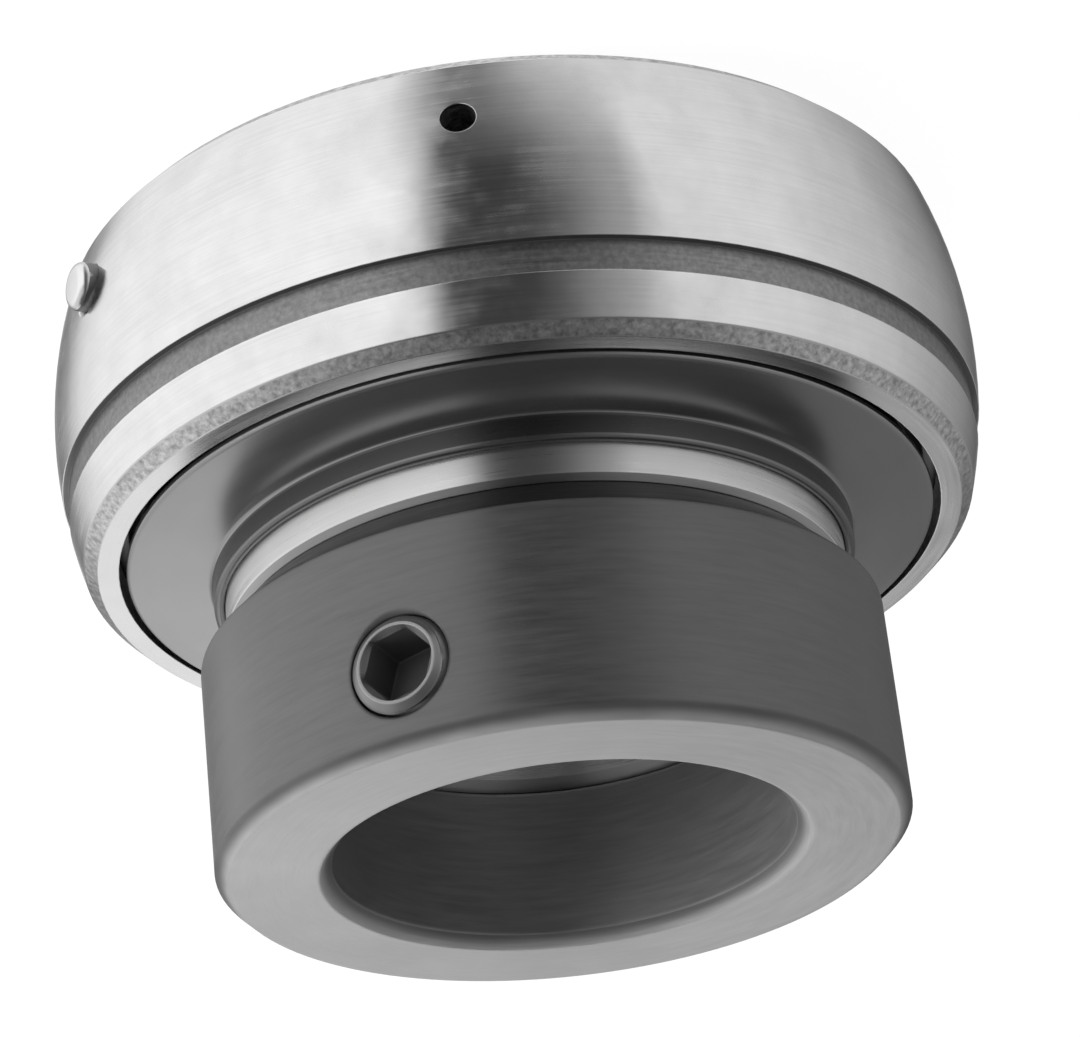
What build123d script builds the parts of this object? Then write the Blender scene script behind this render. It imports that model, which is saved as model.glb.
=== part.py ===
from build123d import *
from math import cos, radians, sin, sqrt, tan
import os

# Insert bearing with an eccentric locking collar. Sizes are in millimetres.
# The bearing's axis is Z, with the locking collar at the top (+Z), and the origin is the centre of the
# ball track, which is also the centre of the spherical seat. The set screw faces -Y. Every bearing of a
# hole or pin round the axis is measured from there, and grows towards +X.

# Rings
bore_diameter = 25.0
seat_diameter = 52.0              # spherical outside of the outer ring
outer_width = 17.0
shoulder_stand_out = 4.4          # from the outer ring's face to the shoulder that the collar stops at
back_face_gap = 0.05              # the inner ring's back face lies this far inside the outer ring's
track_offset = 0.5                # how far the ball pitch circle lies outside the middle of the rings
end_face_width = 1.17             # flat ring at each end of the outer ring
outer_corner_cut = 0.5            # taken off the theoretical corner at each end of the outer ring
inner_corner = 0.35               # chamfer of the inner ring's outside corners
bore_corner = 0.6                 # chamfer at both ends of the inner ring's bore

# Ball track
ball_share = 0.588                # ball diameter over the space between bore and seat
ball_count = 9
track_radius_ratio = 0.52         # track radius over ball diameter
track_play = 0.05                 # between a ball and each track
inner_shoulder_share = 0.2167     # height of the shoulders beside a track, over the ball diameter
outer_shoulder_share = 0.2016

# Outside of the outer ring
groove_near_edge = 3.5            # turned groove on the collar side, measured from the middle
groove_width = 1.85
groove_depth = 0.4
grease_hole_diameter = 1.9
grease_hole_bearing = -20.0
side_hole_offset = 4.1            # grease hole and pin, from the middle away from the collar
pin_diameter = 2.7
pin_bearing = 37.5
pin_stand_out = 0.95
pin_hole_depth = 2.0
pin_mouth = 0.1                   # countersink round the pin
pin_fit = 0.01
pin_dome_radius = 0.5

# Cage
cage_sheet = 0.7
cage_band = 3.0                   # radial width of the ribbon
pocket_play = 0.15
rivet_diameter = 1.2
rivet_head_diameter = 2.2
rivet_head_height = 0.45
rivet_head_dome = 0.35
rivet_fit = 0.01

# Seals
seal_cage_gap = 0.53              # between the cage's domes and the seal's lower lip
seal_groove_width = 1.1
seal_undercut = 0.5               # how far the groove reaches behind the ring's mouth
seal_fit = 0.05
seal_sheet = 0.6
seal_dish = 0.5                   # how far the insert's middle stands above its rim
seal_rim = 1.1                    # radial width of the insert's flat rim
seal_window_share = 0.2456        # gap from the insert to the inner ring, over the space between the rings
lip_wrap = 0.9                    # how far the rubber wraps over the insert
lip_wall = 0.35
lip_play = 0.08

# Flinger, on the collar side only
flinger_sheet = 0.6
flinger_edge_gap = 0.4            # between the flinger and the outer ring's mouth
flinger_stand_out = 0.2           # how far its edge stands over the outer ring's face
flinger_slope = 8.0               # degrees that it rises towards the hub
flinger_hub_length = 1.85
flinger_fit = 0.01
flinger_bend = 0.6                # bend radius of the middle of the sheet at the hub

# Cam and locking collar
cam_length = 4.55
cam_wall = 2.5                    # mean wall of the inner ring at the cam
cam_offset = 0.8                  # eccentricity
cam_offset_bearing = 110.0
cam_play = 0.2                    # radial play of the cam in the collar's recess
cam_corner = 0.4
collar_wall = 2.8                 # thinnest wall round the recess
collar_bore_play = 0.05           # the collar's bore is larger than the ring's by this radius
collar_seat_gap = 0.05            # from the inner ring's shoulder to the collar
recess_floor_gap = 0.3            # from the end of the cam to the floor of the recess
collar_inner_chamfer = 1.95
collar_outer_chamfer = 0.7
collar_bore_chamfer = 0.7
collar_recess_chamfer = 0.3
punch_hole_diameter = 5.0         # blind hole for the punch that turns the collar
punch_hole_depth = 3.2
punch_hole_bearing = 180.0

# Set screw
screw_diameter = 5.5
screw_length = 6.0
screw_from_face = 4.6             # from the collar's outer face to the screw's axis
screw_from_recess = 4.65          # from the floor of the eccentric recess to the screw's axis
screw_stand_out = 0.25
screw_play = 0.04
screw_corner = 0.55
socket_across_flats = 3.5
socket_mouth_diameter = 4.1
socket_depth = 3.2
cup_diameter = 3.0
cup_depth = 0.7
screw_mouth = 0.2                 # countersink of the tapped hole

# Worked out from the sizes above
bore_radius = bore_diameter / 2
seat_radius = seat_diameter / 2
ball_diameter = ball_share * (seat_radius - bore_radius)
ball_radius = ball_diameter / 2
pitch_radius = (bore_radius + seat_radius) / 2 + track_offset / 2
track_radius = track_radius_ratio * ball_diameter
inner_track_bottom = pitch_radius - ball_radius - track_play
outer_track_bottom = pitch_radius + ball_radius + track_play
inner_land = inner_track_bottom + inner_shoulder_share * ball_diameter
outer_land = outer_track_bottom - outer_shoulder_share * ball_diameter
half_outer = outer_width / 2
inner_back = half_outer - back_face_gap
end_corner_radius = sqrt(seat_radius**2 - half_outer**2) - outer_corner_cut
mouth_radius = end_corner_radius - end_face_width
cage_shell_radius = ball_radius + pocket_play + cage_sheet
seal_seat_height = cage_shell_radius + seal_cage_gap + 2 * lip_wall - seal_dish - seal_fit
seal_rim_radius = mouth_radius + seal_undercut - seal_fit
seal_window_radius = inner_land + seal_window_share * (mouth_radius - inner_land)
cam_radius = bore_radius + cam_wall
recess_radius = cam_radius + cam_play
collar_radius = recess_radius + cam_offset + collar_wall
collar_bore = bore_radius + collar_bore_play
shoulder_height = half_outer + shoulder_stand_out
inner_reach = shoulder_height + cam_length
collar_base = shoulder_height + collar_seat_gap
recess_floor = inner_reach + recess_floor_gap
screw_height = recess_floor + screw_from_recess
collar_top = screw_height + screw_from_face
collar_length = collar_top - collar_base
screw_radius = screw_diameter / 2

axis_plane = Plane.XZ             # sections are drawn here, as radius and height
from_bottom = (Align.CENTER, Align.CENTER, Align.MIN)
from_top = (Align.CENTER, Align.CENTER, Align.MAX)


def towards(bearing_deg):
    """Unit vector out from the bearing's axis, at a bearing from -Y that grows towards +X."""
    return Vector(sin(radians(bearing_deg)), -cos(radians(bearing_deg)), 0)


def radial_plane(bearing_deg, radius, height):
    """Plane whose normal points out from the axis, at a radius and a height."""
    out = towards(bearing_deg)
    return Plane(origin=out * radius + Vector(0, 0, height), x_dir=(0, 0, 1), z_dir=out)


def box_section(inner, outer, bottom, top):
    """Rectangle of a section, given by its radii and heights."""
    return Pos((inner + outer) / 2, (bottom + top) / 2) * Rectangle(outer - inner, abs(top - bottom))


def turned(section):
    """Solid of revolution about the bearing's axis."""
    return revolve(axis_plane * section, Axis.Z)


def rim_edge(solid, radius, height):
    """The round edge of a turned piece that lies nearest to a radius and a height."""
    round_edges = solid.edges().filter_by(GeomType.CIRCLE)
    return min(round_edges, key=lambda edge: abs(edge.radius - radius) + abs(edge.arc_center.Z - height))


def corner_section(side):
    """What a 45 degree cut takes off an end corner of the outer ring."""
    face = side * half_outer
    reach = seat_radius - end_corner_radius
    return make_face(
        Polyline(
            (end_corner_radius, face),
            (end_corner_radius + reach, face),
            (end_corner_radius + reach, face - side * reach),
            close=True,
        )
    )


def make_outer_ring():
    """Spherical ring with its ball track, seal grooves, turned groove, grease hole and pin hole."""
    section = Circle(seat_radius) & box_section(outer_land, seat_radius, -half_outer, half_outer)
    section -= Pos(outer_track_bottom - track_radius, 0) * Circle(track_radius)
    groove_bottom = sqrt(seat_radius**2 - groove_near_edge**2) - groove_depth
    section -= box_section(groove_bottom, seat_radius, groove_near_edge, groove_near_edge + groove_width)
    undercut_end = seal_seat_height + seal_groove_width
    for side in (-1, 1):
        section -= box_section(0, mouth_radius, side * seal_seat_height, side * half_outer)
        section -= box_section(0, mouth_radius + seal_undercut, side * seal_seat_height, side * undercut_end)
        section -= corner_section(side)
    ring = turned(section)
    hole = Cylinder(grease_hole_diameter / 2, seat_radius, align=from_bottom)
    ring -= radial_plane(grease_hole_bearing, outer_land - ball_radius, -side_hole_offset) * hole
    return ring - make_pin_hole()


def pin_seat_radius():
    """Distance from the axis to the spherical seat at the pin's height."""
    return sqrt(seat_radius**2 - side_hole_offset**2)


def make_pin_hole():
    """Blind hole of the anti-rotation pin, with its countersink."""
    hole_radius = pin_diameter / 2 + pin_fit
    hole = Cylinder(hole_radius, 2 * pin_hole_depth, align=from_bottom)
    sink = Cone(hole_radius, hole_radius + pin_hole_depth, pin_hole_depth, align=from_bottom)
    hole += Pos(0, 0, pin_hole_depth - pin_mouth) * sink
    return radial_plane(pin_bearing, pin_seat_radius() - pin_hole_depth, -side_hole_offset) * hole


def make_pin():
    """Anti-rotation pin with a domed head."""
    pin = Cylinder(pin_diameter / 2, pin_hole_depth + pin_stand_out, align=from_bottom)
    pin = fillet(pin.edges().filter_by(GeomType.CIRCLE).sort_by(Axis.Z)[-1], pin_dome_radius)
    return radial_plane(pin_bearing, pin_seat_radius() - pin_hole_depth, -side_hole_offset) * pin


def cam_place():
    """Where the cam and the collar's recess have their common centre line."""
    return Location(towards(cam_offset_bearing) * cam_offset)


def make_inner_ring():
    """Inner ring with its ball track and, on its long end, the eccentric cam that the collar sits on."""
    section = box_section(bore_radius, inner_land, -inner_back, shoulder_height)
    section -= Pos(inner_track_bottom + track_radius, 0) * Circle(track_radius)
    ring = turned(section)
    ring = chamfer(rim_edge(ring, inner_land, shoulder_height), inner_corner)
    ring = chamfer(rim_edge(ring, inner_land, -inner_back), inner_corner)
    cam = Cylinder(cam_radius, cam_length, align=from_bottom)
    cam = chamfer(rim_edge(cam, cam_radius, cam_length), cam_corner)
    ring += cam_place() * Pos(0, 0, shoulder_height) * cam
    ring -= Cylinder(bore_radius, 3 * inner_reach)
    ring = chamfer(rim_edge(ring, bore_radius, inner_reach), bore_corner)
    return chamfer(rim_edge(ring, bore_radius, -inner_back), bore_corner)


def ball_places():
    """Where the balls sit, evenly round the pitch circle from the set screw's side."""
    return [Rot(0, 0, index * 360 / ball_count) * Pos(0, -pitch_radius, 0) for index in range(ball_count)]


def rivet_places():
    """Where the rivets sit, halfway between the balls."""
    return [Rot(0, 0, 180 / ball_count) * place for place in ball_places()]


def make_cage_front():
    """The cage's pressed ribbon half on the collar side: flat between the balls, domed over each of them."""
    inner = pitch_radius - cage_band / 2
    outer = pitch_radius + cage_band / 2
    band_profile = Circle(outer) - Circle(inner)
    half = extrude(band_profile, cage_sheet)
    band = extrude(band_profile, 2 * cage_shell_radius)
    for place in ball_places():
        half += (place * Sphere(cage_shell_radius)) & band
    for place in ball_places():
        half -= place * Sphere(ball_radius + pocket_play)
    for place in rivet_places():
        half -= place * Cylinder(rivet_diameter / 2 + rivet_fit, 4 * cage_sheet)
    return half


def make_rivets():
    """Rivets that hold the two halves of the cage together, one separate solid each."""
    shank = Cylinder(rivet_diameter / 2, 2 * cage_sheet)
    head = Cylinder(rivet_head_diameter / 2, rivet_head_height, align=from_bottom)
    head = fillet(rim_edge(head, rivet_head_diameter / 2, rivet_head_height), rivet_head_dome)
    head = Pos(0, 0, cage_sheet) * head
    rivet = shank + head + mirror(head, Plane.XY)
    return Compound(children=[place * rivet for place in rivet_places()])


def seal_insert_section():
    """Section of the front seal's pressed steel insert."""
    bottom = seal_seat_height + seal_fit
    dish_bottom = bottom + seal_dish
    rim_inner = seal_rim_radius - seal_rim
    dish_outer = rim_inner - seal_dish
    return make_face(
        Polyline(
            (seal_rim_radius, bottom),
            (seal_rim_radius, bottom + seal_sheet),
            (rim_inner, bottom + seal_sheet),
            (dish_outer, dish_bottom + seal_sheet),
            (seal_window_radius, dish_bottom + seal_sheet),
            (seal_window_radius, dish_bottom),
            (dish_outer, dish_bottom),
            (rim_inner, bottom),
            close=True,
        )
    )


def seal_lip_section():
    """Section of the rubber moulded round the insert's inner edge, with two lips at the inner ring."""
    insert_bottom = seal_seat_height + seal_fit + seal_dish
    bottom = insert_bottom - lip_wall
    top = insert_bottom + seal_sheet + lip_wall
    over_insert = seal_window_radius + lip_wrap
    body_inner = seal_window_radius - lip_wall
    lip_radius = inner_land + lip_play
    rubber = make_face(
        Polyline(
            (over_insert, bottom),
            (over_insert, top),
            (body_inner, top),
            (lip_radius, top + lip_wall),
            (lip_radius, top),
            ((body_inner + lip_radius) / 2, (top + bottom) / 2),
            (lip_radius, bottom),
            (lip_radius, bottom - lip_wall),
            (body_inner, bottom),
            close=True,
        )
    )
    return rubber - seal_insert_section()


def make_flinger():
    """Flinger: a pressed steel dish that rises a little to its hub, which stands round the inner ring."""
    half_sheet = flinger_sheet / 2
    hub_radius = inner_land + flinger_fit + half_sheet
    edge_radius = mouth_radius - flinger_edge_gap - half_sheet
    edge_height = half_outer + flinger_stand_out - half_sheet
    hub_height = edge_height + (edge_radius - hub_radius) * tan(radians(flinger_slope))
    middle = FilletPolyline(
        (edge_radius, edge_height),
        (hub_radius, hub_height),
        (hub_radius, hub_height + flinger_hub_length - half_sheet),
        radius=flinger_bend,
    )
    return turned(make_face(offset(middle, half_sheet, side=Side.BOTH)))


def make_collar():
    """Locking collar with its eccentric recess, tapped hole and blind punch hole."""
    collar = Pos(0, 0, collar_base) * Cylinder(collar_radius, collar_length, align=from_bottom)
    collar = chamfer(rim_edge(collar, collar_radius, collar_base), collar_inner_chamfer)
    collar = chamfer(rim_edge(collar, collar_radius, collar_top), collar_outer_chamfer)
    collar -= Pos(0, 0, collar_base) * Cylinder(collar_bore, 3 * collar_length)
    collar = chamfer(rim_edge(collar, collar_bore, collar_top), collar_bore_chamfer)
    recess_depth = recess_floor - collar_base
    collar -= cam_place() * Pos(0, 0, collar_base) * Cylinder(recess_radius, 2 * recess_depth)
    collar = chamfer(rim_edge(collar, recess_radius, collar_base), collar_recess_chamfer)
    tapped_radius = screw_radius + screw_play
    tapped = Cylinder(tapped_radius, collar_radius, align=from_top)
    sink = Cone(tapped_radius, 2 * tapped_radius, tapped_radius, align=from_bottom)
    collar -= radial_plane(0, collar_radius + screw_radius, screw_height) * tapped
    collar -= radial_plane(0, collar_radius - screw_mouth, screw_height) * sink
    punch_hole = Cylinder(punch_hole_diameter / 2, 2 * punch_hole_depth)
    return collar - radial_plane(punch_hole_bearing, collar_radius, screw_height) * punch_hole


def make_set_screw():
    """Set screw with a hexagon socket and a cup point."""
    screw = Cylinder(screw_radius, screw_length, align=from_top)
    screw = chamfer(screw.edges().filter_by(GeomType.CIRCLE), screw_corner)
    hexagon = RegularPolygon(socket_across_flats / 2, 6, major_radius=False)
    screw -= extrude(hexagon, -socket_depth)
    mouth_depth = (socket_mouth_diameter - socket_across_flats) / 2
    screw -= Cone(socket_across_flats / 2, socket_mouth_diameter / 2, mouth_depth, align=from_top)
    screw -= Pos(0, 0, -screw_length) * Cone(cup_diameter / 2, 0, cup_depth, align=from_bottom)
    return radial_plane(0, collar_radius + screw_stand_out, screw_height) * screw


def save(name, shape):
    """Write one piece to its own file."""
    export_step(shape, f"parts/{name}.step")


def save_pair(name, front):
    """Write the front piece and its mirror image at the back."""
    save(f"{name}_front", front)
    save(f"{name}_back", mirror(front, Plane.XY))


os.makedirs("parts", exist_ok=True)
save("outer_ring", make_outer_ring())
save("anti_rotation_pin", make_pin())
save("inner_ring", make_inner_ring())
for number, place in enumerate(ball_places(), start=1):
    save(f"ball_{number}", place * Sphere(ball_radius))
save_pair("cage", make_cage_front())
save("cage_rivets", make_rivets())
save_pair("seal_insert", turned(seal_insert_section()))
save_pair("seal_lip", turned(seal_lip_section()))
save("flinger", make_flinger())
save("locking_collar", make_collar())
save("set_screw", make_set_screw())
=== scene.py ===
"""Looks of an insert bearing with an eccentric locking collar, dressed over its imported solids."""

import logging
import math
from dataclasses import dataclass
from enum import Enum
from typing import Callable, Iterator

import bmesh
import bpy
from mathutils import Matrix, Vector


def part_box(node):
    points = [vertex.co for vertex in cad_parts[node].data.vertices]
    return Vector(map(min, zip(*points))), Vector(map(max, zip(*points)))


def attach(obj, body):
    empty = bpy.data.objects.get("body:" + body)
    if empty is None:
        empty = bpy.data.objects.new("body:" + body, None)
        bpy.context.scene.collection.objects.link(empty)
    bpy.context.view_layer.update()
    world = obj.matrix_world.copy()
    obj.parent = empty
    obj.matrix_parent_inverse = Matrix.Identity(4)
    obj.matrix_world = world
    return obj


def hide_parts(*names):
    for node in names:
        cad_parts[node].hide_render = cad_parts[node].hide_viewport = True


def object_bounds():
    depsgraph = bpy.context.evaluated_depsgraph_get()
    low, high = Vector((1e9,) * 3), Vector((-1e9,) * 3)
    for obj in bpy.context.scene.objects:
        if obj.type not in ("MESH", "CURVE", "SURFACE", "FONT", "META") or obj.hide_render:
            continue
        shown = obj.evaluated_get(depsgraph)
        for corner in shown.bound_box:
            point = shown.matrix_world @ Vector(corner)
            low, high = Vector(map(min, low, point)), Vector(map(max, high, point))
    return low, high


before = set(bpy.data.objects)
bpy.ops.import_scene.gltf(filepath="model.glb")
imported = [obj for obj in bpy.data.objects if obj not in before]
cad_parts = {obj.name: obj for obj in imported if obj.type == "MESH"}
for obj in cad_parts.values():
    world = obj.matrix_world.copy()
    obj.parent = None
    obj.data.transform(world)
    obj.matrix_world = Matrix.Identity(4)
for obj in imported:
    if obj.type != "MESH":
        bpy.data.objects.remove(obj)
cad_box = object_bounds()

LOG = logging.getLogger("insert_bearing")
MM = 0.001

# The camera looks at the part from this bearing, counted from -Y towards +X.
PHOTO_BEARING_DEG = -22.8

# Tones by bearing in degrees.
Tones = tuple[tuple[float, float], ...]

WHITE = (1.0, 1.0, 1.0, 1.0)

# Places of the Mix node's sockets for colours and for numbers.
MIX_COLOUR_A = 6
MIX_COLOUR_B = 7
MIX_COLOUR_OUT = 2
MIX_VALUE_A = 2
MIX_VALUE_B = 3

# Noise stays between these values nearly everywhere.
NOISE_LOW = 0.3
NOISE_HIGH = 0.7

# Detail and roughness of the noise in blotches, and in the lines that tools leave.
BLOTCH_DETAIL = 3.0
BLOTCH_ROUGHNESS = 0.6
LINE_DETAIL = 2.0
LINE_ROUGHNESS = 0.65

# Samples of the shader's bevel, which rounds edges in their light alone.
BEVEL_SAMPLES = 4

# Cosine between a wall and its rounded edge, where its lighter tone, rubbed and painted highlight, starts to
# show and where it is full.
RUBBED_AND_LIT_FROM = 0.995
RUBBED_AND_LIT_FULL = 0.9

# Share of the distance from the axis that is added to the height, so that lines step across faces too.
RADIAL_SHARE = 0.6

# A quarter turn lays the long way of a highlight across the marks.
ACROSS_MARKS = 0.25

# Points of a turned piece closer than this are one point.
WELD_MM = 0.0001


def linear_colour(hex_colour: str) -> tuple[float, float, float, float]:
    """Turn an sRGB hex colour into linear red, green, blue and alpha.

    Args:
        hex_colour: six hex digits with a leading hash.

    Returns:
        The linear colour, fully opaque.
    """
    channels = [int(hex_colour[i:i + 2], 16) / 255 for i in (1, 3, 5)]
    red, green, blue = [c / 12.92 if c <= 0.04045 else ((c + 0.055) / 1.055) ** 2.4 for c in channels]
    return red, green, blue, 1.0


def add_node(tree: bpy.types.NodeTree, kind: str, inputs: dict | None = None,
             **settings: object) -> bpy.types.Node:
    """Add one node with its settings, and link or set its inputs.

    Args:
        tree: the node tree that takes the node.
        kind: Blender's name of the node type.
        inputs: input name or index to a socket to link, or to a value to set.
        settings: attributes of the node.

    Returns:
        The new node.
    """
    node = tree.nodes.new(kind)
    for name, value in settings.items():
        setattr(node, name, value)
    for key, value in (inputs or {}).items():
        if isinstance(value, bpy.types.NodeSocket):
            tree.links.new(value, node.inputs[key])
        else:
            node.inputs[key].default_value = value
    return node


def direction(bearing_deg: float, elevation_deg: float) -> Vector:
    """Unit vector at a bearing and an elevation.

    Args:
        bearing_deg: counted from -Y towards +X.
        elevation_deg: counted upwards from level.

    Returns:
        The unit vector.
    """
    bearing, elevation = math.radians(bearing_deg), math.radians(elevation_deg)
    flat = math.cos(elevation)
    return Vector((flat * math.sin(bearing), -flat * math.cos(bearing), math.sin(elevation)))


class Measure(Enum):
    """What a zone of a piece is told by, in the bearing's own frame."""

    FROM_CENTRE = "distance from the middle of the bearing"
    FROM_AXIS = "distance from the axis"
    HEIGHT = "height along the axis"


class MarkAxis(Enum):
    """The line that tool marks run round."""

    BEARING = "the bearing's own axis"
    SCREW = "the set screw's axis"
    PIN = "the pin's axis"


@dataclass(frozen=True)
class ToolMarks:
    """Fine lines that a tool or a grinding wheel leaves round an axis.

    spacing_mm is from line to line, depth_mm their height, and run_mm how far a line goes before it fades.
    tone and gloss are the shares by which they change colour and roughness.
    """

    spacing_mm: float
    depth_mm: float
    run_mm: float
    tone: float
    gloss: float


@dataclass(frozen=True)
class Zone:
    """A stretch of a piece with a colour, a roughness and a mottle of its own.

    mottle is the share by which blotches of mottle_mm change its tone, and smear the share by which
    smears of oil change its roughness. The zone fades in over fade_mm from its low end.
    """

    measure: Measure
    low_mm: float
    high_mm: float
    colour: str
    roughness: float
    mottle: float = 0.02
    mottle_mm: float = 5.0
    smear: float = 0.1
    fade_mm: float = 0.0


@dataclass(frozen=True)
class SteelFinish:
    """A steel surface: its colour, gloss, tool marks, handling marks, and edges lighter from rubbing and
    painted highlight.

    stretch is how much longer a highlight is across the marks than along them. edge is the share by which
    edges are lighter, partly rubbed by handling and partly a painted highlight along rims, and edge_mm how
    far they are rounded. mottle is the share by which blotches of mottle_mm change the tone, and smear the
    share by which smears of oil, smear_mm long, change the roughness.
    """

    name: str
    colour: str
    roughness: float
    marks: ToolMarks
    stretch: float = 0.0
    mottle: float = 0.03
    mottle_mm: float = 5.0
    edge: float = 0.1
    edge_mm: float = 0.08
    axis: MarkAxis = MarkAxis.BEARING
    metallic: float = 1.0
    smear: float = 0.1
    smear_mm: float = 7.0
    zones: tuple[Zone, ...] = ()

    def material(self) -> bpy.types.Material:
        """Build the material.

        Returns:
            A material with one Principled shader.
        """
        made = bpy.data.materials.new(self.name)
        made.use_nodes = True
        tree = made.node_tree
        tree.nodes.clear()
        place = self._axis_place(tree)
        lines = self._lines(tree, place)
        colour, roughness, mottle = self._zoned(tree, place)
        value = add_node(tree, "ShaderNodeMath", {
            0: mottle, 1: self._share(tree, lines, self.marks.tone)}, operation="MULTIPLY")
        # edges lighter, partly rubbed and partly a painted highlight along rims
        rubbed_and_lit = add_node(tree, "ShaderNodeMath", {
            0: self._edge_mask(tree), 1: self.edge, 2: value.outputs[0]}, operation="MULTIPLY_ADD")
        toned = add_node(tree, "ShaderNodeHueSaturation", {"Color": colour, "Value": rubbed_and_lit.outputs[0]})
        rough = add_node(tree, "ShaderNodeMath", {
            0: roughness, 1: self._share(tree, lines, self.marks.gloss)}, operation="MULTIPLY")
        rounded = add_node(tree, "ShaderNodeBevel", {"Radius": self.edge_mm * MM}, samples=BEVEL_SAMPLES)
        bump = add_node(tree, "ShaderNodeBump", {
            "Height": lines, "Distance": self.marks.depth_mm * MM, "Strength": 1.0,
            "Normal": rounded.outputs[0]})
        shader = add_node(tree, "ShaderNodeBsdfPrincipled", {
            "Base Color": toned.outputs[0], "Metallic": self.metallic, "Roughness": rough.outputs[0],
            "Normal": bump.outputs[0], "Anisotropic": self.stretch, "Anisotropic Rotation": ACROSS_MARKS})
        if self.stretch and self.axis is MarkAxis.BEARING:
            around = add_node(tree, "ShaderNodeTangent", direction_type="RADIAL", axis="Z")
            tree.links.new(around.outputs[0], shader.inputs["Tangent"])
        add_node(tree, "ShaderNodeOutputMaterial", {"Surface": shader.outputs[0]})
        return made

    def _axis_place(self, tree: bpy.types.NodeTree) -> bpy.types.NodeSocket:
        """Place on the piece, turned so that its marks run round Z.

        Args:
            tree: the material's node tree.

        Returns:
            The place in the frame of the marks.
        """
        coordinates = add_node(tree, "ShaderNodeTexCoord")
        if self.axis is MarkAxis.BEARING:
            return coordinates.outputs["Object"]
        node = "set_screw" if self.axis is MarkAxis.SCREW else "anti_rotation_pin"
        low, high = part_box(node)
        middle = (low + high) / 2
        out = Vector((middle.x, middle.y, 0)) if self.axis is MarkAxis.PIN else Vector((0, -1, 0))
        turn = Vector((0, 0, 1)).rotation_difference(out.normalized()).to_euler()
        mapping = add_node(tree, "ShaderNodeMapping", {
            "Vector": coordinates.outputs["Object"], "Location": middle, "Rotation": turn},
            vector_type="TEXTURE")
        return mapping.outputs[0]

    def _lines(self, tree: bpy.types.NodeTree, place: bpy.types.NodeSocket) -> bpy.types.NodeSocket:
        """Noise drawn out round the axis, so that it reads as turned or ground lines on walls and faces.

        Args:
            tree: the material's node tree.
            place: the place in the frame of the marks.

        Returns:
            The lines' height, as a share of their depth.
        """
        parts = add_node(tree, "ShaderNodeSeparateXYZ", {0: place})
        radius = self._from_axis(tree, place)
        across = add_node(tree, "ShaderNodeMath", {0: radius, 1: RADIAL_SHARE, 2: parts.outputs["Z"]},
                          operation="MULTIPLY_ADD")
        sizes = (self.marks.spacing_mm, self.marks.run_mm, self.marks.run_mm)
        ways = (across.outputs[0], parts.outputs["X"], parts.outputs["Y"])
        scaled = [add_node(tree, "ShaderNodeMath", {0: way, 1: 1 / (size * MM)}, operation="MULTIPLY")
                  for way, size in zip(ways, sizes)]
        vector = add_node(tree, "ShaderNodeCombineXYZ", {
            number: node.outputs[0] for number, node in enumerate(scaled)})
        noise = add_node(tree, "ShaderNodeTexNoise", {
            "Vector": vector.outputs[0], "Scale": 1.0, "Detail": LINE_DETAIL, "Roughness": LINE_ROUGHNESS})
        return noise.outputs["Fac"]

    def _from_axis(self, tree: bpy.types.NodeTree, place: bpy.types.NodeSocket) -> bpy.types.NodeSocket:
        """Distance from the axis that the marks run round.

        Args:
            tree: the material's node tree.
            place: the place in the frame of the marks.

        Returns:
            The distance in metres.
        """
        flat = add_node(tree, "ShaderNodeVectorMath", {0: place, 1: (1.0, 1.0, 0.0)}, operation="MULTIPLY")
        length = add_node(tree, "ShaderNodeVectorMath", {0: flat.outputs[0]}, operation="LENGTH")
        return length.outputs["Value"]

    def _edge_mask(self, tree: bpy.types.NodeTree) -> bpy.types.NodeSocket:
        """Tell edges by how far the shader's bevel turns their light.

        Args:
            tree: the material's node tree.

        Returns:
            One on convex and concave edges, nothing on flats and round walls.
        """
        wide = add_node(tree, "ShaderNodeBevel", {"Radius": 2 * self.edge_mm * MM}, samples=BEVEL_SAMPLES)
        geometry = add_node(tree, "ShaderNodeNewGeometry")
        same = add_node(tree, "ShaderNodeVectorMath", {0: wide.outputs[0], 1: geometry.outputs["Normal"]},
                        operation="DOT_PRODUCT")
        mask = add_node(tree, "ShaderNodeMapRange", {
            "Value": same.outputs["Value"], "From Min": RUBBED_AND_LIT_FROM, "From Max": RUBBED_AND_LIT_FULL})
        return mask.outputs[0]

    def _zoned(self, tree: bpy.types.NodeTree,
               place: bpy.types.NodeSocket) -> tuple[bpy.types.NodeSocket, ...]:
        """Lay each zone over the ones before it.

        Args:
            tree: the material's node tree.
            place: the place in the frame of the marks.

        Returns:
            Colour, roughness and mottle.
        """
        colour = add_node(tree, "ShaderNodeRGB").outputs[0]
        colour.default_value = linear_colour(self.colour)
        roughness = self._smeared(tree, place, self.roughness, self.smear)
        mottle = self._mottle(tree, place, self.mottle, self.mottle_mm)
        height = add_node(tree, "ShaderNodeSeparateXYZ", {0: place}).outputs["Z"]
        distance = add_node(tree, "ShaderNodeVectorMath", {0: place}, operation="LENGTH").outputs["Value"]
        measures = {Measure.HEIGHT: height, Measure.FROM_CENTRE: distance,
                    Measure.FROM_AXIS: self._from_axis(tree, place)}
        for zone in self.zones:
            mask = add_node(tree, "ShaderNodeMath", {
                0: measures[zone.measure], 1: (zone.low_mm + zone.high_mm) / 2 * MM,
                2: (zone.high_mm - zone.low_mm) / 2 * MM}, operation="COMPARE").outputs[0]
            if zone.fade_mm:
                fade = add_node(tree, "ShaderNodeMapRange", {
                    "Value": measures[zone.measure], "From Min": zone.low_mm * MM,
                    "From Max": (zone.low_mm + zone.fade_mm) * MM}, interpolation_type="SMOOTHSTEP")
                mask = add_node(tree, "ShaderNodeMath", {0: mask, 1: fade.outputs[0]},
                                operation="MULTIPLY").outputs[0]
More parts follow.
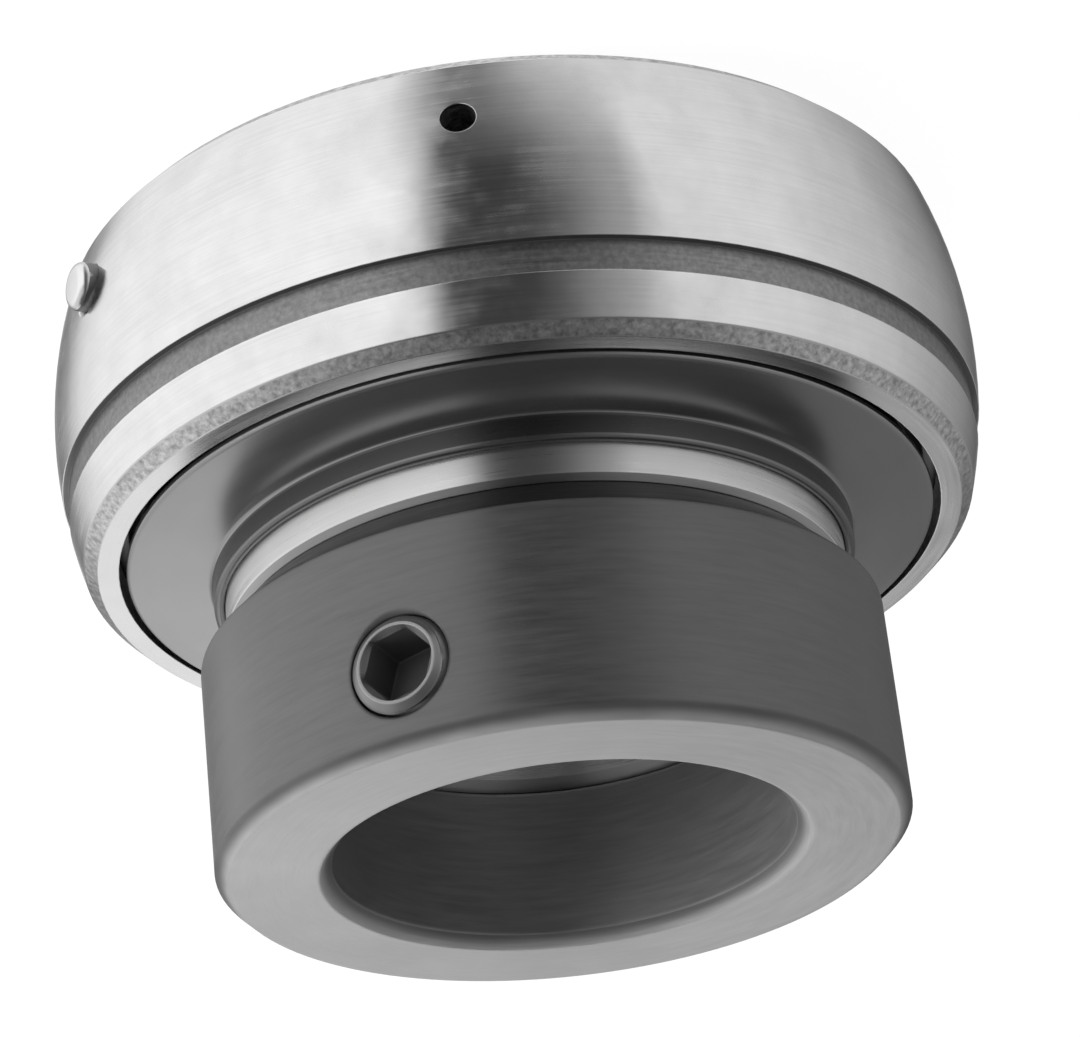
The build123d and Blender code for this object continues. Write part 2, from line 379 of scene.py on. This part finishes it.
            colour = add_node(tree, "ShaderNodeMix", {
                0: mask, MIX_COLOUR_A: colour, MIX_COLOUR_B: linear_colour(zone.colour)},
                data_type="RGBA").outputs[MIX_COLOUR_OUT]
            smeared = self._smeared(tree, place, zone.roughness, zone.smear)
            roughness = add_node(tree, "ShaderNodeMix", {
                0: mask, MIX_VALUE_A: roughness, MIX_VALUE_B: smeared}, data_type="FLOAT").outputs[0]
            blotches = self._mottle(tree, place, zone.mottle, zone.mottle_mm)
            mottle = add_node(tree, "ShaderNodeMix", {
                0: mask, MIX_VALUE_A: mottle, MIX_VALUE_B: blotches}, data_type="FLOAT").outputs[0]
        return colour, roughness, mottle

    def _smeared(self, tree: bpy.types.NodeTree, place: bpy.types.NodeSocket, roughness: float,
                 share: float) -> bpy.types.NodeSocket:
        """Roughness that smears of oil change by a share."""
        smears = self._mottle(tree, place, share, self.smear_mm)
        return add_node(tree, "ShaderNodeMath", {0: smears, 1: roughness}, operation="MULTIPLY").outputs[0]

    def _mottle(self, tree: bpy.types.NodeTree, place: bpy.types.NodeSocket, share: float,
                size_mm: float) -> bpy.types.NodeSocket:
        """Blotches of a size.

        Args:
            tree: the material's node tree.
            place: the place in the frame of the marks.
            share: how far the factor changes from one.
            size_mm: size of a blotch.

        Returns:
            The blotches as a factor.
        """
        noise = add_node(tree, "ShaderNodeTexNoise", {
            "Vector": place, "Scale": 1 / (size_mm * MM), "Detail": BLOTCH_DETAIL,
            "Roughness": BLOTCH_ROUGHNESS})
        return self._share(tree, noise.outputs["Fac"], share)

    def _share(self, tree: bpy.types.NodeTree, noise: bpy.types.NodeSocket,
               share: float) -> bpy.types.NodeSocket:
        """Turn noise into a factor.

        Args:
            tree: the material's node tree.
            noise: the noise.
            share: how far the factor changes from one.

        Returns:
            The factor.
        """
        return add_node(tree, "ShaderNodeMapRange", {
            "Value": noise, "From Min": NOISE_LOW, "From Max": NOISE_HIGH,
            "To Min": 1 - share, "To Max": 1 + share}).outputs[0]


@dataclass(frozen=True)
class RubberFinish:
    """Moulded nitrile rubber: matt black with the fine grain of its mould.

    tone is the share by which the grain changes the tone, and index the rubber's index of refraction.
    """

    name: str
    colour: str
    roughness: float
    grain_mm: float
    grain_depth_mm: float
    tone: float = 0.2
    index: float = 1.52

    def material(self) -> bpy.types.Material:
        """Build the material.

        Returns:
            A material with one Principled shader.
        """
        made = bpy.data.materials.new(self.name)
        made.use_nodes = True
        tree = made.node_tree
        tree.nodes.clear()
        place = add_node(tree, "ShaderNodeTexCoord").outputs["Object"]
        grain = add_node(tree, "ShaderNodeTexNoise", {
            "Vector": place, "Scale": 1 / (self.grain_mm * MM), "Detail": BLOTCH_DETAIL})
        tone = add_node(tree, "ShaderNodeMapRange", {
            "Value": grain.outputs["Fac"], "To Min": 1 - self.tone, "To Max": 1 + self.tone})
        toned = add_node(tree, "ShaderNodeHueSaturation", {
            "Color": linear_colour(self.colour), "Value": tone.outputs[0]})
        bump = add_node(tree, "ShaderNodeBump", {
            "Height": grain.outputs["Fac"], "Distance": self.grain_depth_mm * MM})
        shader = add_node(tree, "ShaderNodeBsdfPrincipled", {
            "Base Color": toned.outputs[0], "Roughness": self.roughness, "Normal": bump.outputs[0],
            "IOR": self.index})
        add_node(tree, "ShaderNodeOutputMaterial", {"Surface": shader.outputs[0]})
        return made


# Lines are finer than this on the real rings; they are drawn as coarse as the picture can show.
GRINDING = ToolMarks(spacing_mm=0.16, depth_mm=0.0009, run_mm=9.0, tone=0.04, gloss=0.2)
TURNING = ToolMarks(spacing_mm=0.33, depth_mm=0.008, run_mm=4.0, tone=0.1, gloss=0.15)
PRESSING = ToolMarks(spacing_mm=0.6, depth_mm=0.001, run_mm=12.0, tone=0.03, gloss=0.1)


def dress(node: str, finish: bpy.types.Material) -> None:
    """Give a solid its finish in every material slot.

    Args:
        node: name of the solid.
        finish: the material.
    """
    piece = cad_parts[node]
    if not piece.material_slots:
        piece.data.materials.append(finish)
    for slot in piece.material_slots:
        slot.material = finish
    LOG.info("%s: %s", node, finish.name)


def turned(name: str, outline: list[tuple[float, float]], columns: int, finish: bpy.types.Material,
           place: Matrix = Matrix()) -> bpy.types.Object:
    """Turn an outline of radius and height round Z into a smooth piece.

    Args:
        name: name of the new object.
        outline: the section, closed unless it starts and ends on the axis.
        columns: number of steps round the axis.
        finish: the material.
        place: where the outline's own frame sits.

    Returns:
        The new object.
    """
    grid = bmesh.new()
    around = [2 * math.pi * i / columns for i in range(columns)]
    rings = []
    for radius, height in outline:
        points = [Vector((radius * math.cos(angle), radius * math.sin(angle), height)) for angle in around]
        rings.append([grid.verts.new(place @ point) for point in points])
    following = rings[1:] + (rings[:1] if outline[0][0] else [])
    for first, second in zip(rings, following):
        for i in range(columns):
            j = (i + 1) % columns
            grid.faces.new((first[i], first[j], second[j], second[i])).smooth = True
    bmesh.ops.remove_doubles(grid, verts=grid.verts, dist=WELD_MM * MM)
    bmesh.ops.recalc_face_normals(grid, faces=grid.faces)
    mesh = bpy.data.meshes.new(name)
    grid.to_mesh(mesh)
    grid.free()
    mesh.materials.append(finish)
    piece = bpy.data.objects.new(name, mesh)
    bpy.context.scene.collection.objects.link(piece)
    return piece


@dataclass
class OuterRace:
    """Outer ring with the seals fixed in it, and its pin, turned again with a finer mesh."""

    pin_bearing_deg: float = 37.5
    pin_dome_mm: float = 0.5
    pin_columns: int = 96
    dome_steps: int = 10
    ground: SteelFinish = SteelFinish(
        # Through-hardened bearing steel: turned grey all over, then its seat and end faces ground bright.
        name="ground_bearing_steel_outer", colour="#D2D2D2", roughness=0.36, marks=GRINDING, stretch=0.3,
        mottle=0.4, mottle_mm=0.35, smear_mm=4.0,
        zones=(
            # floor of the groove, and a darker line along its corner, painted shade under the groove's wall
            Zone(Measure.FROM_AXIS, 25.3, 25.42, "#8E8E8E", 0.45, mottle=0.2, mottle_mm=0.3),
            Zone(Measure.HEIGHT, 3.45, 3.62, "#8C8C8C", 0.5),
            # ground seat, with the oil that hands left on it
            Zone(Measure.FROM_CENTRE, 25.95, 26.1, "#DEDEDE", 0.18, mottle=0.05, mottle_mm=2.5, smear=0.65),
            # ground end faces
            Zone(Measure.HEIGHT, 8.45, 8.6, "#E2E2E2", 0.25),
            Zone(Measure.HEIGHT, -8.6, -8.45, "#E2E2E2", 0.25),
        ))
    pin: SteelFinish = SteelFinish(
        # Drawn steel, bright, with its side drawn dark as painted shade on the flank beside its hole.
        name="drawn_pin_steel", colour="#E6E6E6", roughness=0.25, marks=PRESSING, axis=MarkAxis.PIN,
        zones=(Zone(Measure.FROM_AXIS, 1.33, 1.4, "#8C8C8C", 0.4),))
    insert: SteelFinish = SteelFinish(
        # Cold-rolled sheet, pressed: satin grey.
        name="pressed_seal_steel", colour="#8E8E8E", roughness=0.38, marks=PRESSING, stretch=0.2)
    rubber: RubberFinish = RubberFinish(
        name="moulded_nitrile_rubber", colour="#1B1B1C", roughness=0.62, grain_mm=0.25, grain_depth_mm=0.01)

    def build(self) -> None:
        """Dress every piece of the outer race."""
        dress("outer_ring", self.ground.material())
        insert, rubber = self.insert.material(), self.rubber.material()
        for side in ("front", "back"):
            dress(f"seal_insert_{side}", insert)
            dress(f"seal_lip_{side}", rubber)
        self._pin()

    def _pin(self) -> None:
        """Domed pin in the place of its solid, riding on the outer race."""
        low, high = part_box("anti_rotation_pin")
        out = direction(self.pin_bearing_deg, 0)
        radius = (high.z - low.z) / 2
        dome = self.pin_dome_mm * MM
        # the box tells how far from the axis the pin's round end starts and its head ends
        start = (low.x + radius * abs(out.y)) / out.x
        end = (high.x - (radius - dome) * abs(out.y) - dome) / out.x + dome
        length = end - start
        outline = [(0, 0), (radius, 0)]
        for step in range(self.dome_steps + 1):
            angle = math.pi / 2 * step / self.dome_steps
            outline.append((radius - dome * (1 - math.cos(angle)), length - dome * (1 - math.sin(angle))))
        outline.append((0, length))
        turn = Vector((0, 0, 1)).rotation_difference(out).to_matrix().to_4x4()
        place = Matrix.Translation(out * start + Vector((0, 0, (low.z + high.z) / 2))) @ turn
        piece = turned("domed_pin", outline, self.pin_columns, self.pin.material(), place)
        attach(piece, "outer_race")
        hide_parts("anti_rotation_pin")
        LOG.info("domed_pin: %s", self.pin.name)


@dataclass
class InnerRace:
    """Inner ring with the flinger pressed on it, which is turned again with a finer mesh."""

    sheet_mm: float = 0.6
    bend_mm: float = 0.6
    slope_deg: float = 8.0
    press_fit_mm: float = 0.01
    columns: int = 480
    bend_steps: int = 10
    ground: SteelFinish = SteelFinish(
        # Bearing steel, ground on its land, bore and back face: bright, with fine lines round it.
        name="ground_bearing_steel_inner", colour="#F6F6F6", roughness=0.32, marks=GRINDING, stretch=0.9,
        zones=(
            # strip beside the collar, drawn a darker grey
            Zone(Measure.HEIGHT, 12.58, 12.96, "#C8C8C8", 0.36),
            # honed bore, and the chamfer and face at its front end, drawn a darker grey
            Zone(Measure.FROM_AXIS, 12.4, 12.55, "#B4B4B4", 0.3),
            Zone(Measure.HEIGHT, 16.8, 17.5, "#BEBEBE", 0.4),
        ))
    sheet: SteelFinish = SteelFinish(
        # Cold-rolled sheet, pressed and lightly blackened: dark satin that mirrors the collar.
        name="pressed_flinger_steel", colour="#A2A2A2", roughness=0.23, marks=PRESSING, metallic=0.88,
        zones=(
            # hub, a little rougher and drawn darker than the dish as painted shade for the dark it mirrors,
            # and its end drawn less dark as a painted highlight on the rim
            Zone(Measure.FROM_AXIS, 17.0, 17.85, "#585858", 0.26),
            Zone(Measure.HEIGHT, 10.6, 11.0, "#7A7A7A", 0.22),
        ))

    def build(self) -> None:
        """Dress the inner ring, and make the flinger where its solid is, riding on the inner ring's body."""
        dress("inner_ring", self.ground.material())
        piece = turned("pressed_flinger", self._flinger_outline(), self.columns, self.sheet.material())
        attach(piece, "inner_race")
        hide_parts("flinger")
        LOG.info("pressed_flinger: %s", self.sheet.name)

    def _flinger_outline(self) -> list[tuple[float, float]]:
        """Outline of the flinger's section: dish, bend and hub with round ends.

        Returns:
            The closed outline, as radius and height.
        """
        half = self.sheet_mm / 2 * MM
        bend = self.bend_mm * MM
        slope = math.radians(self.slope_deg)
        low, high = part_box("flinger")
        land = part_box("inner_ring")[1].x
        hub = land + self.press_fit_mm * MM + half
        edge = Vector((high.x - half, low.z + half))
        corner = Vector((hub, edge.y + (edge.x - hub) * math.tan(slope)))
        inward = (corner - edge).normalized()
        # the bend turns from the dish's way inward to the hub's way up
        turn = math.pi / 2 - slope
        start = corner - inward * bend * math.tan(turn / 2)
        centre = start + Vector((-inward.y, inward.x)) * -bend
        first = math.atan2(start.y - centre.y, start.x - centre.x)
        middle = [(edge, inward)]
        for step in range(self.bend_steps + 1):
            angle = first - turn * step / self.bend_steps
            out = Vector((math.cos(angle), math.sin(angle)))
            middle.append((centre + out * bend, Vector((out.y, -out.x))))
        middle.append((Vector((hub, high.z - half)), Vector((0, 1))))
        left = [place + Vector((-way.y, way.x)) * half for place, way in middle]
        right = [place - Vector((-way.y, way.x)) * half for place, way in middle]
        caps = []
        for place, way in (middle[-1], (middle[0][0], -middle[0][1])):
            side = Vector((-way.y, way.x))
            angles = [math.pi * step / self.bend_steps for step in range(1, self.bend_steps)]
            caps.append([place + (side * math.cos(a) + way * math.sin(a)) * half for a in angles])
        points = left + caps[0] + right[::-1] + caps[1]
        return [(point.x, point.y) for point in points]


@dataclass
class RollingSet:
    """Balls, cage halves and rivets."""

    ball_count: int = 9
    lapped: SteelFinish = SteelFinish(
        # Bearing steel, lapped: mirror bright.
        name="lapped_ball_steel", colour="#DEDEDE", roughness=0.06, marks=PRESSING)
    ribbon: SteelFinish = SteelFinish(
        # Cold-rolled strip, pressed: warm satin grey.
        name="pressed_cage_steel", colour="#A8A59D", roughness=0.35, marks=PRESSING, stretch=0.2)

    def build(self) -> None:
        """Dress the balls and the cage."""
        ball, ribbon = self.lapped.material(), self.ribbon.material()
        for number in range(1, self.ball_count + 1):
            dress(f"ball_{number}", ball)
        for node in ("cage_front", "cage_back", "cage_rivets"):
            dress(node, ribbon)


@dataclass
class SetScrew:
    """Threaded set screw with a hexagon socket and a cup point, made in the place of the plain solid."""

    pitch_mm: float = 0.9
    thread_depth_mm: float = 0.42
    flank_rise: float = 2.7
    end_chamfer_mm: float = 0.55
    socket_flats_mm: float = 3.5
    socket_mouth_mm: float = 4.1
    socket_depth_mm: float = 3.2
    socket_turn_deg: float = 11.0
    cup_mm: float = 3.0
    cup_depth_mm: float = 0.7
    columns: int = 72
    rows_per_pitch: int = 8
    steel: SteelFinish = SteelFinish(
        # Hardened alloy steel, black oxide: dark grey, its edges much lighter, partly rubbed and partly a
        # painted highlight along thread and socket rims, and its socket drawn darker as painted shade in the
        # recess.
        name="black_oxide_screw_steel", colour="#8A8A8A", roughness=0.32, marks=PRESSING, metallic=0.6,
        axis=MarkAxis.SCREW, edge=0.9, zones=(Zone(Measure.FROM_AXIS, 0.0, 2.04, "#7C7C7C", 0.55),))

    def build(self) -> None:
        """Make the screw in the place of its solid, riding on the screw's body."""
        low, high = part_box("set_screw")
        radius = (high.z - low.z) / 2
        length = high.y - low.y
        middle = Vector(((low.x + high.x) / 2, low.y, (low.z + high.z) / 2))
        mesh = bpy.data.meshes.new("threaded_set_screw")
        grid = bmesh.new()
        rings = [self._ring(grid, radius_at, depth) for radius_at, depth in self._profile(radius, length)]
        for upper, lower in zip(rings, rings[1:]):
            for i in range(self.columns):
                j = (i + 1) % self.columns
                grid.faces.new((upper[i], upper[j], lower[j], lower[i]))
        tips = (self.socket_depth_mm * MM, length - self.cup_depth_mm * MM)
        for ring, depth in zip((rings[0], rings[-1]), tips):
            tip = grid.verts.new((0, depth, 0))
            for i in range(self.columns):
                grid.faces.new((ring[i], ring[(i + 1) % self.columns], tip))
        bmesh.ops.recalc_face_normals(grid, faces=grid.faces)
        bmesh.ops.translate(grid, vec=middle, verts=grid.verts)
        grid.to_mesh(mesh)
        grid.free()
        piece = bpy.data.objects.new("threaded_set_screw", mesh)
        bpy.context.scene.collection.objects.link(piece)
        mesh.materials.append(self.steel.material())
        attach(piece, "screw")
        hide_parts("set_screw")
        LOG.info("threaded_set_screw: %s", self.steel.name)

    def _profile(self, radius: float, length: float) -> Iterator[tuple[Callable[[float], float], float]]:
        """Go round the screw, from the socket's floor over the outside to the cup.

        Args:
            radius: radius over the thread.
            length: length of the screw.

        Returns:
            The rings in order, each as its radius by angle and its depth.
        """
        flats = self.socket_flats_mm / 2 * MM
        turn = math.radians(self.socket_turn_deg)

        def hexagon(angle: float) -> float:
            """Radius of the socket's hexagon at an angle."""
            return flats / math.cos((angle - turn) % (math.pi / 3) - math.pi / 6)

        def circle(size: float) -> Callable[[float], float]:
            """The same radius at every angle."""
            return lambda angle: size

        mouth = self.socket_mouth_mm / 2 * MM
        chamfer = self.end_chamfer_mm * MM
        yield hexagon, self.socket_depth_mm * MM
        yield hexagon, mouth - flats
        yield circle(mouth), 0.0
        yield circle(radius - chamfer), 0.0
        count = round(length / (self.pitch_mm * MM) * self.rows_per_pitch)
        for row in range(1, count):
            depth = length * row / count
            yield self._thread(radius, length, depth), depth
        yield circle(radius - chamfer), length
        yield circle(self.cup_mm / 2 * MM), length

    def _thread(self, radius: float, length: float, depth: float) -> Callable[[float], float]:
        """Section of the thread at a depth, inside both end chamfers.

        Args:
            radius: radius over the thread.
            length: length of the screw.
            depth: distance from the screw's outer end.

        Returns:
            The radius, as a function of the angle.
        """
        cut = self.thread_depth_mm * MM

        def at(angle: float) -> float:
            """Radius of the thread at an angle.

            Args:
                angle: angle round the screw's axis.

            Returns:
                The radius.
            """
            phase = (depth / (self.pitch_mm * MM) + angle / (2 * math.pi)) % 1.0
            # each flank rises from the root, half a pitch from the crest, and stops at the flat crest
            ridge = min(1.0, self.flank_rise * (0.5 - abs(phase - 0.5)))
            threaded = radius - cut * (1 - ridge)
            taper = radius - max(0.0, self.end_chamfer_mm * MM - min(depth, length - depth))
            return min(threaded, taper)

        return at

    def _ring(self, grid: bmesh.types.BMesh, radius_at: Callable[[float], float],
              depth: float) -> list[bmesh.types.BMVert]:
        """One ring of vertices round the screw's axis, which runs inward along +Y.

        Args:
            grid: the mesh that takes the ring.
            radius_at: the radius, as a function of the angle.
            depth: distance from the screw's outer end.

        Returns:
            The vertices in order.
        """
        ring = []
        for i in range(self.columns):
            angle = 2 * math.pi * i / self.columns
            size = radius_at(angle)
            ring.append(grid.verts.new((size * math.cos(angle), depth, size * math.sin(angle))))
        return ring


@dataclass
class LockingCollar:
    """Eccentric locking collar, black oxide over fine turning, with its end face drawn lighter as painted
    light.
    """

    blackened: SteelFinish = SteelFinish(
        # Free-cutting steel, turned and blackened: dark satin, with the end face drawn a lighter grey as a
        # painted reflection of the light above it.
        # The oxide is a thin layer of black crystals, so part of the light comes back scattered.
        name="black_oxide_turned_steel", colour="#6C6C6C", roughness=0.36, marks=TURNING, stretch=0.4,
        metallic=0.45, edge=0.0, edge_mm=0.3, zones=(
            # bore
            Zone(Measure.FROM_AXIS, 12.4, 12.6, "#898989", 0.4),
            # chamfered inner end, drawn near black as painted shade in the gap between collar and inner ring
            Zone(Measure.HEIGHT, 12.9, 14.88, "#383838", 0.36),
            # end face drawn lighter as a painted reflection of the light above, fading in over the chamfers
            # towards it
            Zone(Measure.HEIGHT, 26.42, 27.1, "#C0C0C0", 0.4, fade_mm=0.6),
        ))

    def build(self) -> None:
        """Dress the collar."""
        dress("locking_collar", self.blackened.material())


@dataclass(frozen=True)
class Lamp:
    """A square soft lamp, placed by bearing from the camera, elevation and distance in metres."""

    name: str
    bearing_deg: float
    elevation_deg: float
    distance: float
    size: float
    radiance: float

    def build(self) -> None:
        """Add the lamp, turned to the part."""
        light = bpy.data.lights.new(self.name, "AREA")
        light.shape = "SQUARE"
        light.size = self.size
        light.energy = self.radiance * math.pi * self.size ** 2
        lamp = bpy.data.objects.new(self.name, light)
        out = direction(PHOTO_BEARING_DEG + self.bearing_deg, self.elevation_deg)
        turn = out.to_track_quat("Z", "Y").to_matrix().to_4x4()
        lamp.matrix_world = Matrix.Translation(out * self.distance) @ turn
        # the tent of light in the world stands for the lamps in what metal mirrors
        lamp.visible_glossy = False
        bpy.context.scene.collection.objects.link(lamp)


@dataclass
class Studio:
    """Pale floor, light tent and camera."""

    floor_radius: float = 0.55
    floor_columns: int = 96
    floor_tone: str = "#F2F2F2"
    floor_glow: float = 0.8
    glow_strength: float = 1.17
    ambient: float = 0.15
    # Tone of the tent that metal mirrors, by bearing from the camera towards the picture's left.
    tent: Tones = (
        (-180, 0.9), (-175, 0.78), (-170, 0.3), (-162, 0.12), (-152, 0.18), (-136, 0.32), (-120, 0.44),
        (-104, 0.62), (-88, 0.72), (-72, 0.82), (-56, 0.88), (-39, 0.87), (-33, 0.45), (-24, 0.32),
        (-15, 0.13), (-8, 0.06), (4, 0.05), (12, 0.07), (19, 0.95), (26, 1.17), (60, 1.15), (100, 1.14),
        (120, 1.05), (130, 0.93), (137, 0.66), (143, 0.4), (155, 0.22), (164, 0.3), (169, 0.85), (174, 1.0),
        (180, 0.9))
    # The same near the ground, where the tent's dark opening is paler and wider.
    low_tent: Tones = (
        (-180, 0.9), (-175, 0.85), (-165, 0.7), (-130, 0.65), (-104, 0.82), (-72, 0.87), (-40, 0.86),
        (-32, 0.75), (-16, 0.57), (-8, 0.4), (0, 0.26), (12, 0.2), (20, 0.4), (32, 1.0), (44, 1.08),
        (100, 1.05), (130, 0.9), (160, 0.6), (180, 0.9))
    low_start_deg: float = -34.0
    low_end_deg: float = -68.0
    # The same above the part, behind it brighter on the picture's left.
    high_tent: Tones = (
        (-180, 0.9), (-178, 0.8), (-175.5, 0.3), (-165, 0.25), (-136, 0.32), (-104, 0.4), (-39, 0.42),
        (-24, 0.2), (-8, 0.06), (12, 0.07), (24, 0.55), (60, 0.7), (130, 0.75), (150, 0.8), (166, 1.0),
        (172, 1.0), (180, 0.95))
    high_start_deg: float = 4.0
    high_end_deg: float = 18.0
    # Above this the tent is dark, so that chamfers facing the camera stay dark.
    top_start_deg: float = 42.0
    top_end_deg: float = 58.0
    top_tone: float = 0.1
    lamps: tuple[Lamp, ...] = (
        Lamp("key_lamp", 80, 20, 0.8, 0.4, 10.0),
        Lamp("fill_lamp", -75, 40, 0.8, 0.5, 0.6),
        Lamp("top_lamp", 180, 75, 0.8, 0.6, 1.5),
    )
    lens_mm: float = 134.8
    sensor_mm: float = 36.0
    clip_start: float = 0.01
    aim_mm: tuple[float, float, float] = (-0.6, 0.25, 6.5)
    distance_mm: float = 226.0
    view_elevation_deg: float = 26.59
    roll_deg: float = 173.58

    def build(self) -> None:
        """Add the floor, the world, the lamps and the camera."""
        self._floor()
        self._world()
        for lamp in self.lamps:
            lamp.build()
        self._camera()
        bpy.context.scene.view_settings.view_transform = "Standard"

    def _floor(self) -> None:
        """Plain pale floor under the part, which keeps its shadow."""
        mesh = bpy.data.meshes.new("studio_floor")
        grid = bmesh.new()
        bmesh.ops.create_circle(grid, cap_ends=True, radius=self.floor_radius, segments=self.floor_columns)
        bmesh.ops.translate(grid, vec=(0, 0, cad_box[0][2]), verts=grid.verts)
        grid.to_mesh(mesh)
        grid.free()
        floor = bpy.data.objects.new("studio_floor", mesh)
        bpy.context.scene.collection.objects.link(floor)
        floor.visible_glossy = False
        made = bpy.data.materials.new("painted_white_floor")
        made.use_nodes = True
        tree = made.node_tree
        tree.nodes.clear()
        path = add_node(tree, "ShaderNodeLightPath")
        paint = add_node(tree, "ShaderNodeBsdfDiffuse", {"Color": linear_colour(self.floor_tone)})
        glow = add_node(tree, "ShaderNodeEmission", {"Color": WHITE, "Strength": self.glow_strength})
        share = add_node(tree, "ShaderNodeMath", {0: path.outputs["Is Camera Ray"], 1: self.floor_glow},
                         operation="MULTIPLY")
        mixed = add_node(tree, "ShaderNodeMixShader", {
            0: share.outputs[0], 1: paint.outputs[0], 2: glow.outputs[0]})
        add_node(tree, "ShaderNodeOutputMaterial", {"Surface": mixed.outputs[0]})
        mesh.materials.append(made)

    def _world(self) -> None:
        """White for the camera, a tent of soft panels for what metal mirrors, and plain ambient light."""
        world = bpy.data.worlds.new("light_tent")
        bpy.context.scene.world = world
        world.use_nodes = True
        tree = world.node_tree
        tree.nodes.clear()
        way = add_node(tree, "ShaderNodeTexCoord").outputs["Generated"]
        aligned = add_node(tree, "ShaderNodeVectorRotate", {
            "Vector": way, "Angle": -math.radians(PHOTO_BEARING_DEG)}, rotation_type="Z_AXIS")
        parts = add_node(tree, "ShaderNodeSeparateXYZ", {0: aligned.outputs[0]})
        forward = add_node(tree, "ShaderNodeMath", {0: parts.outputs["Y"], 1: -1.0}, operation="MULTIPLY")
        bearing = add_node(tree, "ShaderNodeMath", {0: parts.outputs["X"], 1: forward.outputs[0]},
                           operation="ARCTAN2")
        share = add_node(tree, "ShaderNodeMapRange", {
            "Value": bearing.outputs[0], "From Min": -math.pi, "From Max": math.pi})
        brightest = max(tone for ring in (self.tent, self.low_tent, self.high_tent) for _, tone in ring)
        tone, low, high = [self._ramp(tree, share.outputs[0], ring, brightest)
                           for ring in (self.tent, self.low_tent, self.high_tent)]
        top = self.top_tone / brightest
        layers = (
            (self.low_start_deg, self.low_end_deg, low),
            (self.high_start_deg, self.high_end_deg, high),
            (self.top_start_deg, self.top_end_deg, (top, top, top, 1)),
        )
        for start, end, layer in layers:
            blend = add_node(tree, "ShaderNodeMapRange", {
                "Value": parts.outputs["Z"], "From Min": math.sin(math.radians(start)),
                "From Max": math.sin(math.radians(end))})
            tone = add_node(tree, "ShaderNodeMix", {
                0: blend.outputs[0], MIX_COLOUR_A: tone, MIX_COLOUR_B: layer},
                data_type="RGBA").outputs[MIX_COLOUR_OUT]
        path = add_node(tree, "ShaderNodeLightPath")
        tent = add_node(tree, "ShaderNodeBackground", {"Color": tone, "Strength": brightest})
        plain = add_node(tree, "ShaderNodeBackground", {"Color": WHITE, "Strength": self.ambient})
        white = add_node(tree, "ShaderNodeBackground", {"Color": WHITE, "Strength": 1.0})
        lit = add_node(tree, "ShaderNodeMixShader", {
            0: path.outputs["Is Glossy Ray"], 1: plain.outputs[0], 2: tent.outputs[0]})
        seen = add_node(tree, "ShaderNodeMath", {
            0: path.outputs["Is Camera Ray"], 1: path.outputs["Is Transmission Ray"]}, operation="MAXIMUM")
        shown = add_node(tree, "ShaderNodeMixShader", {
            0: seen.outputs[0], 1: lit.outputs[0], 2: white.outputs[0]})
        add_node(tree, "ShaderNodeOutputWorld", {"Surface": shown.outputs[0]})

    def _ramp(self, tree: bpy.types.NodeTree, share: bpy.types.NodeSocket,
              tones: Tones, brightest: float) -> bpy.types.NodeSocket:
        """Tones by bearing as a ramp over the whole turn.

        Args:
            tree: the world's node tree.
            share: where a bearing lies between -180 and 180 degrees.
            tones: the ramp's stops.
            brightest: the tone that counts as one.

        Returns:
            The tones, as shares of the brightest.
        """
        ramp = add_node(tree, "ShaderNodeValToRGB", {0: share})
        stops = ramp.color_ramp.elements
        while len(stops) > 1:
            stops.remove(stops[-1])
        for number, (bearing_deg, tone) in enumerate(tones):
            position = (bearing_deg + 180) / 360
            stop = stops[0] if number == 0 else stops.new(position)
            stop.position = position
            stop.color = (tone / brightest, tone / brightest, tone / brightest, 1)
        return ramp.outputs[0]

    def _camera(self) -> None:
        """Camera at the photograph's angle, which shows the part with its collar down."""
        data = bpy.data.cameras.new("photo_camera")
        data.lens = self.lens_mm
        data.sensor_width = self.sensor_mm
        data.sensor_fit = "HORIZONTAL"
        data.clip_start = self.clip_start
        camera = bpy.data.objects.new("photo_camera", data)
        back = direction(PHOTO_BEARING_DEG, self.view_elevation_deg)
        right = Vector((0, 0, 1)).cross(back).normalized()
        up = back.cross(right)
        axes = Matrix((right, up, back)).transposed().to_4x4()
        place = Vector(self.aim_mm) * MM + back * self.distance_mm * MM
        roll = Matrix.Rotation(math.radians(self.roll_deg), 4, "Z")
        camera.matrix_world = Matrix.Translation(place) @ axes @ roll
        bpy.context.scene.collection.objects.link(camera)
        bpy.context.scene.camera = camera


def main() -> None:
    """Build the sub-assemblies and the studio in order."""
    logging.basicConfig(level=logging.INFO, format="%(message)s")
    OuterRace().build()
    InnerRace().build()
    RollingSet().build()
    LockingCollar().build()
    SetScrew().build()
    Studio().build()


if __name__ == "__main__":
    main()
